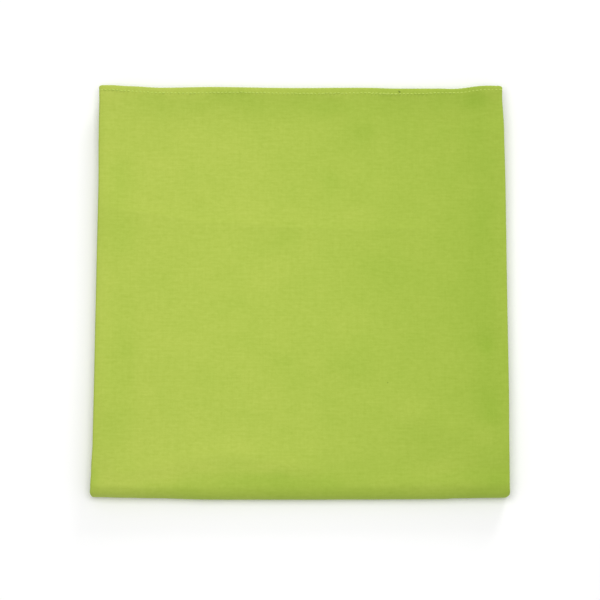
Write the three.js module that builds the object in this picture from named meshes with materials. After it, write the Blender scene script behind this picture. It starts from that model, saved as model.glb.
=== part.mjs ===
// A microfibre towel, folded flat. The long sides are turned under to meet at the middle of
// the back, which makes a strip of two plies. The strip is then folded in half, and in half
// again, so that four lengths of it lie on each other.
//
// Millimetres, +Z up. X runs across the folded towel and +Y points to its hemmed end. The
// origin is the middle of the box, on the surface that the towel rests on.
import * as THREE from 'three';

// ---- the cloth --------------------------------------------------------------------------
const TOWEL_WIDTH = 500;        // from one long side to the other, laid out flat
const TOWEL_LENGTH = 1000;      // from hem to hem
const SHEET = 1.0;              // thickness of the cloth
const HEM_SHEET = 1.7;          // the same cloth turned over twice and stitched down
const HEM_WIDTH = 3.6;
const HEM_STEP = 1.2;           // the length in which the hem thins to plain cloth
const LAYER_GAP = 0.3;          // air between one layer and the next

// ---- the strip of two plies -------------------------------------------------------------
const PLY_PITCH = SHEET + LAYER_GAP;
const HEM_PITCH = HEM_SHEET + LAYER_GAP;
const STRIP = 2 * PLY_PITCH;    // height that one length of the strip takes up
const SIDE_GAP = 1.2;           // between the two long sides where they meet
const TURN_LENGTH = Math.PI * PLY_PITCH / 2;
// The face, the two turned-under halves and the two turns use up the towel's width.
const FOLD_X = (TOWEL_WIDTH - 2 * TURN_LENGTH + SIDE_GAP) / 4;

// ---- the folds across the strip ---------------------------------------------------------
const LENGTHS = 4;                          // lengths of the strip, one on another
const FRONT_SHOULDER = 11;                  // the front fold rolls down over this distance
const FRONT_FOOT = 2.6;                     // and tucks under in this one
const FRONT_HEIGHT = 3.4;                   // height of its foremost line
const FRONT_MIDDLE = 2.5;                   // which counts as half-way between the lengths
const INNER_FOLD_SET_BACK = 10.5;           // from the foremost line to the fold inside it
const BACK_FOLD_SET_BACK = 3.2;             // the back fold and the hidden hem lie a little
const HIDDEN_HEM_SET_BACK = 1.0;            // behind the hem that shows
const TIGHT_RADIUS = STRIP / 2;             // of the back fold and the inner fold
const HEM_RISE = HEM_SHEET - SHEET;         // what one ply of hem adds to the height
const SETTLE_TOP = 26;                      // the cloth comes down from the hems over these
const SETTLE_HIDDEN = 14;                   // distances, on top and inside

// ---- the soft relief of the face --------------------------------------------------------
const RELIEF_ROOM = 0.7;        // the face stands this far off the ply below, less its dents
const BEAD_INSET = 6;           // a low bead runs along each side, this far from the fold
const TROUGH_INSET = 14;        // and a shallow trough inside it

// Creases of the face. Each runs from one point to another; height is negative for a dent.
const CREASES = [
  { name: 'left bead',        x1: -119, y1: -122, x2: -119, y2: 112, width: 4,  height: 0.35 },
  { name: 'right bead',       x1: 119,  y1: -122, x2: 119,  y2: 112, width: 4,  height: 0.35 },
  { name: 'left trough',      x1: -111, y1: -116, x2: -111, y2: 105, width: 6,  height: -0.3 },
  { name: 'right trough',     x1: 111,  y1: -116, x2: 111,  y2: 105, width: 6,  height: -0.35 },
  { name: 'cross crease',     x1: -118, y1: 52,   x2: -20,  y2: 41,  width: 7,  height: 0.5 },
  { name: 'cross crease end', x1: -20,  y1: 41,   x2: 95,   y2: 41,  width: 7,  height: 0.4 },
  { name: 'front rise',       x1: -60,  y1: -104, x2: 10,   y2: -108, width: 12, height: 0.35 },
  { name: 'front dent',       x1: 76,   y1: -84,  x2: 90,   y2: -90, width: 9,  height: -0.45 },
];

// How far each side stands out from a straight line, by the distance along Y.
const SIDE_WANDER = [
  { y: -127, left: 0.9,  right: -0.1 },
  { y: -112, left: 0.5,  right: -0.2 },
  { y: -95,  left: 0.0,  right: 0.1 },
  { y: -60,  left: -0.2, right: 0.5 },
  { y: 0,    left: 0.0,  right: 0.35 },
  { y: 60,   left: 0.0,  right: 0.5 },
  { y: 100,  left: 0.5,  right: 0.35 },
  { y: 127,  left: 0.2,  right: -0.9 },
];

// How far the hemmed end and the front fold stand out, by the distance along X.
const END_WANDER = [
  { x: -120, hem: 0.9,  front: -0.8 },
  { x: -108, hem: 0.3,  front: -0.55 },
  { x: -90,  hem: -0.6, front: -0.35 },
  { x: -55,  hem: -0.05, front: 0.45 },
  { x: -5,   hem: -0.55, front: 0.35 },
  { x: 40,   hem: -0.35, front: 0.15 },
  { x: 62,   hem: -0.9, front: 0.0 },
  { x: 97,   hem: -0.8, front: -0.7 },
  { x: 112,  hem: 0.9,  front: -0.95 },
  { x: 122,  hem: 0.95, front: -1.1 },
];
const END_REACH = 60;           // the ends' wander dies out over this distance

// Each length of the strip is drawn in a little at its sides, as folding by hand leaves it.
const DRAWN_IN = [
  { length: 1, left: 0.9, right: 0.4 },
  { length: 2, left: 0.3, right: 1.2 },
  { length: 3, left: 1.0, right: 0.7 },
  { length: 4, left: 0.0, right: 0.0 },
];

// Corners as seen from above.
const FRONT_LEFT_RADIUS = 2.4;
const FRONT_RIGHT_RADIUS = 4.2;
const HEM_CORNER_RADIUS = 1.4;

// ---- small helpers ----------------------------------------------------------------------
const ease = (t) => (1 - Math.cos(Math.PI * Math.min(Math.max(t, 0), 1))) / 2;
const mix = (a, b, t) => a + (b - a) * t;

// The value of a column at a place between the rows of a table, whose keys rise.
function read(table, key, at, column) {
  const next = table.findIndex((row) => row[key] > at);
  if (next === -1) return table.at(-1)[column];
  if (next === 0) return table[0][column];
  const [before, after] = [table[next - 1], table[next]];
  return mix(before[column], after[column], ease((at - before[key]) / (after[key] - before[key])));
}

const distanceTo = (crease, x, y) => {
  const [dx, dy] = [crease.x2 - crease.x1, crease.y2 - crease.y1];
  const along = ((x - crease.x1) * dx + (y - crease.y1) * dy) / (dx * dx + dy * dy);
  const t = Math.min(Math.max(along, 0), 1);
  return Math.hypot(x - crease.x1 - t * dx, y - crease.y1 - t * dy);
};

const relief = (x, y) => {
  let height = RELIEF_ROOM;
  for (const crease of CREASES) {
    height += crease.height * Math.exp(-((distanceTo(crease, x, y) / crease.width) ** 2));
  }
  return Math.max(height, 0);
};

// ---- the first fold: one section across the strip ----------------------------------------
// A station is a place on the section. x0 is where it lies across, or the centre of its turn,
// and (dx, dh) is the section's normal there, away from the middle of the strip. The
// turned-under plies have their stations under those of the face, so the layers keep apart.
const FACE_STEPS = 6;
const SIDE_TURN_STEPS = 5;

function sectionStations() {
  const face = [{ x0: -FOLD_X + BEAD_INSET, dx: 0, dh: 1 }];
  for (let i = 0; i <= FACE_STEPS; i += 1) {
    const x = mix(-FOLD_X + TROUGH_INSET, FOLD_X - TROUGH_INSET, i / FACE_STEPS);
    face.push({ x0: x, dx: 0, dh: 1 });
  }
  face.push({ x0: FOLD_X - BEAD_INSET, dx: 0, dh: 1 });

  // One turned-under ply and its turn, from the middle of the back out to the face.
  const side = (sign) => {
    const columns = face.map((station) => sign * station.x0).filter((x) => x > SIDE_GAP);
    const under = [SIDE_GAP / 2, ...columns.sort((a, b) => a - b)]
      .map((x) => ({ x0: sign * x, dx: 0, dh: -1 }));
    const turn = [];
    for (let i = 0; i <= SIDE_TURN_STEPS; i += 1) {
      const angle = Math.PI * i / SIDE_TURN_STEPS;
      turn.push({ x0: sign * FOLD_X, dx: sign * Math.sin(angle), dh: -Math.cos(angle) });
    }
    return [...under, ...turn];
  };
  return [...side(-1), ...face, ...side(1).reverse()];
}

// ---- the second fold: the path that the strip follows ------------------------------------
const middleOf = (length) => STRIP * (length - 0.5) - LAYER_GAP / 2;

// A turn of the path: part of an ellipse, after its first point and up to the last step made.
// (ny, nz) points to the strip's face side.
function turnRows({ y, z, deep, high, from, to, steps, last, faceOut, lengths, relief }) {
  const rows = [];
  for (let i = 1; i <= last; i += 1) {
    const t = i / steps;
    const angle = THREE.MathUtils.degToRad(mix(from, to, t));
    const [ny, nz] = [Math.cos(angle) / deep, Math.sin(angle) / high];
    const scale = faceOut / Math.hypot(ny, nz);
    rows.push({
      y: y + deep * Math.cos(angle), z: z + high * Math.sin(angle),
      ny: ny * scale, nz: nz * scale,
      sheet: SHEET, pitch: PLY_PITCH,
      length: mix(lengths[0], lengths[1], t),
      relief: mix(relief[0], relief[1], t),
    });
  }
  return rows;
}

// A row of a flat length of the strip, at a distance from the end that is hemmed. The hem
// lifts the cloth beside it, which settles again over its reach.
const NO_HEM = { distance: 1, reach: 1, pliesBelow: 0 };
function flatRow(length, y, hem = NO_HEM) {
  const settle = hem === NO_HEM ? 0
    : 1 - ease((hem.distance - HEM_WIDTH) / (hem.reach - HEM_WIDTH));
  return {
    y,
    z: middleOf(length) + hem.pliesBelow * HEM_RISE * settle,
    ny: 0,
    nz: length % 2 === 0 ? 1 : -1,
    sheet: hem !== NO_HEM && hem.distance <= HEM_WIDTH ? HEM_SHEET : SHEET,
    pitch: mix(PLY_PITCH, HEM_PITCH, settle),
    length,
    relief: length === LENGTHS ? 1 - settle : 0,
  };
}

// The folded depth follows from the towel's length: the four lengths and the turns use it up.
const quarterEllipse = (a, b) => {
  const h = ((a - b) / (a + b)) ** 2;
  return Math.PI * (a + b) * (1 + 3 * h / (10 + Math.sqrt(4 - 3 * h))) / 4;
};
const TOP_Z = middleOf(LENGTHS);
const FRONT_TURN_LENGTH = quarterEllipse(FRONT_SHOULDER, TOP_Z - FRONT_HEIGHT)
  + quarterEllipse(FRONT_FOOT, FRONT_HEIGHT - middleOf(1));
const FLAT_LENGTH = TOWEL_LENGTH - FRONT_TURN_LENGTH - 2 * Math.PI * TIGHT_RADIUS;
const SET_BACKS = FRONT_SHOULDER + FRONT_FOOT + 2 * INNER_FOLD_SET_BACK
  + 2 * BACK_FOLD_SET_BACK + HIDDEN_HEM_SET_BACK;
const DEPTH = (FLAT_LENGTH + SET_BACKS) / LENGTHS;
const HEM_Y = DEPTH / 2;
const FRONT_Y = -DEPTH / 2;
const BACK_FOLD_Y = HEM_Y - BACK_FOLD_SET_BACK;
const INNER_FOLD_Y = FRONT_Y + INNER_FOLD_SET_BACK;
const HIDDEN_HEM_Y = HEM_Y - HIDDEN_HEM_SET_BACK;

// Rows are closest beside the hems and in the turns.
const FACE_ROWS = 14;
const HIDDEN_ROWS = 4;
const SHOULDER_STEPS = 6;
const FOOT_STEPS = 4;
const TIGHT_STEPS = 6;
const hemDistances = (reach) => [0, HEM_CORNER_RADIUS, HEM_WIDTH, HEM_WIDTH + HEM_STEP,
  mix(HEM_WIDTH, reach, 0.3), mix(HEM_WIDTH, reach, 0.6), reach];

function pathRows() {
  const rows = [];
  const tightTurn = (y, below, above, towards) => turnRows({
    y, z: (middleOf(below) + middleOf(above)) / 2, deep: TIGHT_RADIUS, high: TIGHT_RADIUS,
    steps: TIGHT_STEPS, last: TIGHT_STEPS - 1, lengths: [below, above], relief: [0, 0],
    ...towards,
  });
  const backwards = { from: -90, to: 90, faceOut: 1 };
  const forwards = { from: 270, to: 90, faceOut: -1 };

  // The length that shows, from its hem to the front fold.
  const shoulderY = FRONT_Y + FRONT_SHOULDER;
  for (const d of hemDistances(SETTLE_TOP)) {
    rows.push(flatRow(4, HEM_Y - d, { distance: d, reach: SETTLE_TOP, pliesBelow: 3 }));
  }
  for (let i = 1; i <= FACE_ROWS; i += 1) {
    rows.push(flatRow(4, mix(HEM_Y - SETTLE_TOP, shoulderY, i / FACE_ROWS)));
  }
  rows.push(...turnRows({
    y: shoulderY, z: FRONT_HEIGHT, deep: FRONT_SHOULDER, high: TOP_Z - FRONT_HEIGHT,
    from: 90, to: 180, faceOut: 1, steps: SHOULDER_STEPS, last: SHOULDER_STEPS,
    lengths: [4, FRONT_MIDDLE], relief: [1, 0],
  }));
  rows.push(...turnRows({
    y: FRONT_Y + FRONT_FOOT, z: FRONT_HEIGHT, deep: FRONT_FOOT, high: FRONT_HEIGHT - middleOf(1),
    from: 180, to: 270, faceOut: 1, steps: FOOT_STEPS, last: FOOT_STEPS - 1,
    lengths: [FRONT_MIDDLE, 1], relief: [0, 0],
  }));

  // The length that rests on the surface, and the back fold.
  for (let i = 0; i <= HIDDEN_ROWS; i += 1) {
    rows.push(flatRow(1, mix(FRONT_Y + FRONT_FOOT, BACK_FOLD_Y, i / HIDDEN_ROWS)));
  }
  rows.push(...tightTurn(BACK_FOLD_Y, 1, 2, backwards));

  // The second length, the inner fold and the third length, to the hidden hem.
  for (let i = 0; i <= HIDDEN_ROWS; i += 1) {
    rows.push(flatRow(2, mix(BACK_FOLD_Y, INNER_FOLD_Y, i / HIDDEN_ROWS)));
  }
  rows.push(...tightTurn(INNER_FOLD_Y, 2, 3, forwards));
  for (let i = 0; i < HIDDEN_ROWS; i += 1) {
    rows.push(flatRow(3, mix(INNER_FOLD_Y, HIDDEN_HEM_Y - SETTLE_HIDDEN, i / HIDDEN_ROWS)));
  }
  for (const d of hemDistances(SETTLE_HIDDEN).reverse()) {
    rows.push(flatRow(3, HIDDEN_HEM_Y - d, { distance: d, reach: SETTLE_HIDDEN, pliesBelow: 1 }));
  }
  return rows;
}

// ---- unevenness, the same for all the layers that lie at one place ------------------------
// How much a rounded corner takes off a side at a distance from the end.
const cornerCut = (radius, fromEnd) => {
  const short = Math.min(Math.max(radius - fromEnd, 0), radius);
  return radius - Math.sqrt(radius * radius - short * short);
};

function uneven(x, y, z, length) {
  const side = x < 0 ? 'left' : 'right';
  const share = Math.abs(x) / FOLD_X;
  const frontRadius = x < 0 ? FRONT_LEFT_RADIUS : FRONT_RIGHT_RADIUS;
  const bodyEdge = PLY_PITCH / 2 + SHEET / 2;
  const out = read(SIDE_WANDER, 'y', y, side) - read(DRAWN_IN, 'length', length, side)
    - cornerCut(frontRadius, y - FRONT_Y + bodyEdge) - cornerCut(HEM_CORNER_RADIUS, HEM_Y - y);
  const hem = read(END_WANDER, 'x', x, 'hem') * ease((y - HEM_Y + END_REACH) / END_REACH);
  const front = read(END_WANDER, 'x', x, 'front') * ease((FRONT_Y + END_REACH - y) / END_REACH);
  return [x + Math.sign(x) * out * share, y + hem - front, z];
}

// ---- the solid -----------------------------------------------------------------------------
function towelGeometry() {
  const stations = sectionStations();
  const rows = pathRows();
  const count = stations.length;
  const positions = [];
  const place = (row, station, face) => {
    const reach = row.pitch / 2 + face * row.sheet / 2;
    const x = station.x0 + station.dx * reach;
    const h = station.dh * reach;
    const y = row.y + h * row.ny;
    const lift = relief(x, row.y) * row.relief * (1 + station.dh) / 2;
    return uneven(x, y, row.z + h * row.nz + lift, row.length);
  };
  // One ring of points to a row: along the outer face of the section and back on the inner.
  for (const row of rows) {
    stations.forEach((station) => positions.push(...place(row, station, 1)));
    [...stations].reverse().forEach((station) => positions.push(...place(row, station, -1)));
  }
  const ring = 2 * count;
  const triangles = [];
  const quad = (a, b, c, d) => triangles.push(a, b, c, a, c, d);
  for (let r = 0; r + 1 < rows.length; r += 1) {
    for (let i = 0; i < ring; i += 1) {
      const j = (i + 1) % ring;
      quad(r * ring + i, (r + 1) * ring + i, (r + 1) * ring + j, r * ring + j);
    }
  }
  // The hemmed ends, closed between the two faces.
  const last = (rows.length - 1) * ring;
  for (let i = 0; i + 1 < count; i += 1) {
    const [a, b, c, d] = [i, i + 1, ring - 2 - i, ring - 1 - i];
    quad(a, b, c, d);
    quad(last + d, last + c, last + b, last + a);
  }
  const geometry = new THREE.BufferGeometry();
  geometry.setAttribute('position', new THREE.Float32BufferAttribute(positions, 3));
  geometry.setIndex(triangles);
  geometry.computeBoundingBox();
  const middle = geometry.boundingBox.getCenter(new THREE.Vector3());
  geometry.translate(-middle.x, -middle.y, -geometry.boundingBox.min.z);
  geometry.computeVertexNormals();
  return geometry;
}

const cloth = new THREE.MeshStandardMaterial({ color: '#b4c854', roughness: 0.95, metalness: 0 });
const towel = new THREE.Mesh(towelGeometry(), cloth);
towel.name = 'towel';

const part = new THREE.Group();
part.add(towel);
export default part;
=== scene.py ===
# A microfibre suede towel, folded flat. Its long sides are turned under to the middle of the
# back, and the strip that they make is folded in half and in half again.
#
# Sizes are in millimetres until a mesh is made. X runs across the folded towel, +Y points to
# its hemmed end, and the towel rests on the plane z = 0. u runs across the cloth as it was
# cut, from its middle, and v runs along it, from the hem that shows.
import math
import bpy
import numpy as np
from mathutils import Matrix, Vector


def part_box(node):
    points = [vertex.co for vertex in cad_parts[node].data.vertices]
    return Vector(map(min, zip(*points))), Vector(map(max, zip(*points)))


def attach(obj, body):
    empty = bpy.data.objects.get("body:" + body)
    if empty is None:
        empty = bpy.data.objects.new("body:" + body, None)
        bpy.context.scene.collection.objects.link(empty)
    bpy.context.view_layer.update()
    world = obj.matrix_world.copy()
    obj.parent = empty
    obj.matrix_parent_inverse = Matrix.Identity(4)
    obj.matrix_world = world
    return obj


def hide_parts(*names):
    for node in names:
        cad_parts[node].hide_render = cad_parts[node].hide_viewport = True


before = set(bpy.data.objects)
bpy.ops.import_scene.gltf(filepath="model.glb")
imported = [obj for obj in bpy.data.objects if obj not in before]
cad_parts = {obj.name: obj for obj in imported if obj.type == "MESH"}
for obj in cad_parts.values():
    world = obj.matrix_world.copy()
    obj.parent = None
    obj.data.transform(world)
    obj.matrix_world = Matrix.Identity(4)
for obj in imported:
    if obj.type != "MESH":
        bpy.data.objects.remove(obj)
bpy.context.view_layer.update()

MM = 0.001

# ---- the cloth ---------------------------------------------------------------------------
TOWEL_WIDTH = 500.0
TOWEL_LENGTH = 1000.0
SHEET = 0.9                 # thickness of the cloth with its nap
HEM_SHEET = 1.4             # the same cloth turned over and stitched down
HEM_WIDTH = 3.6
PLY_PITCH = 1.3             # from one ply of the strip to the next
HEM_PITCH = 1.8
STRIP = 2 * PLY_PITCH
SIDE_GAP = 1.2              # between the long sides where they meet, inside the fold
SIDE_TURN = math.pi * PLY_PITCH / 2
FOLD_X = (TOWEL_WIDTH - 2 * SIDE_TURN + SIDE_GAP) / 4
HALF_WIDTH = TOWEL_WIDTH / 2

# ---- the folds across the strip ----------------------------------------------------------
FRONT_SHOULDER = 7.0        # the front fold rolls down over this distance
FRONT_FOOT = 2.6            # and tucks under in this one
FRONT_HEIGHT = 3.4          # height of its foremost line
FRONT_SQUARENESS = 2.7      # 2 is an ellipse, and more is a fuller bend
FRONT_MIDDLE = 2.5          # the foremost line counts as half-way between two lengths
INNER_FOLD_SET_BACK = 10.5
BACK_FOLD_SET_BACK = 3.2
HIDDEN_HEM_SET_BACK = 1.0
TIGHT_RADIUS = STRIP / 2
HEM_RISE = HEM_SHEET - SHEET
SETTLE_HIDDEN = 14.0

# How the cloth comes down from the hems beneath it, along X: over what distance, and how
# much higher than the bare stack it stands.
HEM_SETTLE = [
    {"x": -125, "reach": 30, "extra": 0.0},
    {"x": -100, "reach": 34, "extra": 0.0},
    {"x": -70, "reach": 30, "extra": 0.2},
    {"x": -45, "reach": 26, "extra": 0.35},
    {"x": -10, "reach": 26, "extra": 0.35},
    {"x": 15, "reach": 24, "extra": 0.2},
    {"x": 42, "reach": 36, "extra": 0.0},
    {"x": 62, "reach": 22, "extra": 0.1},
    {"x": 90, "reach": 26, "extra": 0.0},
    {"x": 110, "reach": 16, "extra": 0.4},
    {"x": 125, "reach": 16, "extra": 0.1},
]

# Thickness of the hem from its edge inwards, in shares of the hem's own: a soft roll, the
# valley that the stitches pull, and the turned edge beyond it.
HEM_PROFILE = [
    {"inset": 0.6, "share": 1.0},
    {"inset": 1.5, "share": 1.03},
    {"inset": 2.3, "share": 0.93},
    {"inset": 3.3, "share": 0.86},
    {"inset": 3.8, "share": 0.90},
    {"inset": 4.5, "share": 0.79},
    {"inset": 9.0, "share": SHEET / HEM_SHEET},
]
SETTLE_POWER = 2.0          # the cloth drops fastest close to the hem
HEM_ROUND = 0.55            # the folded edge is rounded over this distance
LEAST_EDGE = 0.04           # of the square of the thickness, so that the edge stays blunt
STITCH_INSET = 3.4

# How much further in than its usual line the seam runs.
SEAM_WANDER = [
    {"x": -125, "in": -0.35},
    {"x": -95, "in": -0.1},
    {"x": -62, "in": 0.45},
    {"x": -28, "in": 0.05},
    {"x": 8, "in": 0.3},
    {"x": 45, "in": 0.05},
    {"x": 72, "in": 0.1},
    {"x": 90, "in": -0.5},
    {"x": 104, "in": -0.75},
    {"x": 125, "in": -0.8},
]
STITCH_COUNT = 103          # from one side of the folded towel to the other
STITCH_PITCH = 2 * FOLD_X / STITCH_COUNT
HOLE_DEPTH = 0.22           # the needle holes draw the hem in
HOLE_SPREAD = 0.55
EDGE_SCALLOP = 0.04         # and so do the stitches with its edge

# ---- unevenness of the outline -----------------------------------------------------------
# How far each side stands out from a straight line.
SIDE_WANDER = [
    {"y": -127, "left": 1.1, "right": 0.0},
    {"y": -112, "left": 0.5, "right": 0.05},
    {"y": -95, "left": -0.05, "right": 0.15},
    {"y": -60, "left": -0.15, "right": 0.5},
    {"y": 0, "left": -0.05, "right": 0.4},
    {"y": 60, "left": -0.2, "right": 0.5},
    {"y": 100, "left": 0.45, "right": 0.15},
    {"y": 127, "left": 0.25, "right": -1.1},
]

# How far the hemmed end and the front stand out from theirs.
END_WANDER = [
    {"x": -120, "hem": 1.5, "front": -0.85},
    {"x": -108, "hem": 0.9, "front": -0.55},
    {"x": -88, "hem": 0, "front": -0.3},
    {"x": -55, "hem": 0.5, "front": 0.45},
    {"x": -5, "hem": -0.1, "front": 0.35},
    {"x": 40, "hem": 0.35, "front": 0.1},
    {"x": 62, "hem": -0.15, "front": -0.05},
    {"x": 88, "hem": -0.1, "front": -0.3},
    {"x": 95, "hem": -0.3, "front": -0.7},
    {"x": 118, "hem": 1.5, "front": -1.0},
    {"x": 124, "hem": 1.4, "front": -1.1},
]
END_REACH = 60.0            # they pull the cloth along over this distance

# How far in from the shown length the sides of each length of the strip lie.
DRAWN_IN = [
    {"length": 1, "left": 1.2, "right": 1.0},
    {"length": 2, "left": 1.5, "right": 2.5},
    {"length": 3, "left": 2.6, "right": 1.3},
    {"length": 4, "left": 0.0, "right": 0.0},
]
LOWER_WAVINESS = 0.8        # of the sides that lie under the shown one
LOWER_WAVE_SIZE = 30.0
WAVE_LANE = 40.0            # sets the waves of one length apart from the next one's,
WAVE_SIDE_LANE = 500.0      # and of one side from the other's
FRONT_LEFT_RADIUS = 0.1
FRONT_RIGHT_RADIUS = 1.9
HEM_CORNER_RADIUS = 1.4

# ---- looseness of the layers -------------------------------------------------------------
LOOSE_GAP = 0.22            # between one length and the next, on average
LOOSE_SIZE = 45.0           # width of its swells
LOOSE_MIDDLE = 0.4          # share of it that the middle has,
LOOSE_SIDE = 1.1            # and how much more the sides have
LOOSE_SIDE_FROM = 95.0      # from here outwards,
LOOSE_SIDE_REACH = 30.0     # growing over this distance

# ---- soft relief of the face -------------------------------------------------------------
RELIEF_ROOM = 0.9           # the face stands this far off the ply below, less its dents
LEAST_ROOM = 0.05           # and never closer than this
FACE_SWELLS = [
    {"size": 26, "height": 0.09, "seed": 3},
    {"size": 10, "height": 0.04, "seed": 4},
]

# Creases follow a route of points. "left" and "right" are how far their flanks reach, as seen
# along the route, and "soft" is how round the crest is. A trough has a height below zero.
OLD_FOLD = [(-126, 50.2), (-112, 49.3), (-95, 47.4), (-76, 44), (-58, 41.2), (-38, 41),
            (-21, 39.8), (-3, 37.6), (15, 37.4), (46, 37.2), (82, 38.5)]
CREASES = [
    {"name": "old fold", "left": 7, "right": 14, "soft": 0.8, "height": 0.32, "route": OLD_FOLD},
    {"name": "its crest", "left": 1.8, "right": 4, "soft": 0.5, "height": 0.12, "route": OLD_FOLD},
    {"name": "front roll", "left": 9, "right": 5, "soft": 2.0, "height": 0.7,
     "route": [(-118, -117), (-95, -112), (-72, -106), (-50, -103), (-30, -104), (-5, -108),
               (15, -112)]},
    {"name": "front right fold", "left": 8, "right": 9, "soft": 2.5, "height": 0.5,
     "route": [(58, -80), (72, -79), (84, -84), (98, -96)]},
    {"name": "slant", "left": 14, "right": 7, "soft": 2.5, "height": 0.2,
     "route": [(2, -50), (18, -47), (34, -42), (50, -35)]},
    {"name": "left bead", "left": 4, "right": 8, "soft": 2.0, "height": 0.35,
     "route": [(-121.5, -112), (-121.5, 108)]},
    {"name": "right bead", "left": 12, "right": 4, "soft": 2.5, "height": 0.6,
     "route": [(121, -112), (121, 108)]},
]
CREASE_FADE = 10.0          # they die out over this distance at their ends

# Round swellings and dents.
SWELLINGS = [
    {"at": (112, -33), "across": 7, "along": 7, "height": -0.35},
    {"at": (113, -72), "across": 7, "along": 12, "height": -0.35},
    {"at": (-120, 56), "across": 14, "along": 16, "height": 0.5},
    {"at": (-118, -70), "across": 13, "along": 16, "height": 0.5},
    {"at": (38, 104), "across": 12, "along": 10, "height": 0.3},
    {"at": (78, -120), "across": 42, "along": 6, "height": 0.55},
    {"at": (-100, -125), "across": 34, "along": 4, "height": 1.0},
]

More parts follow.
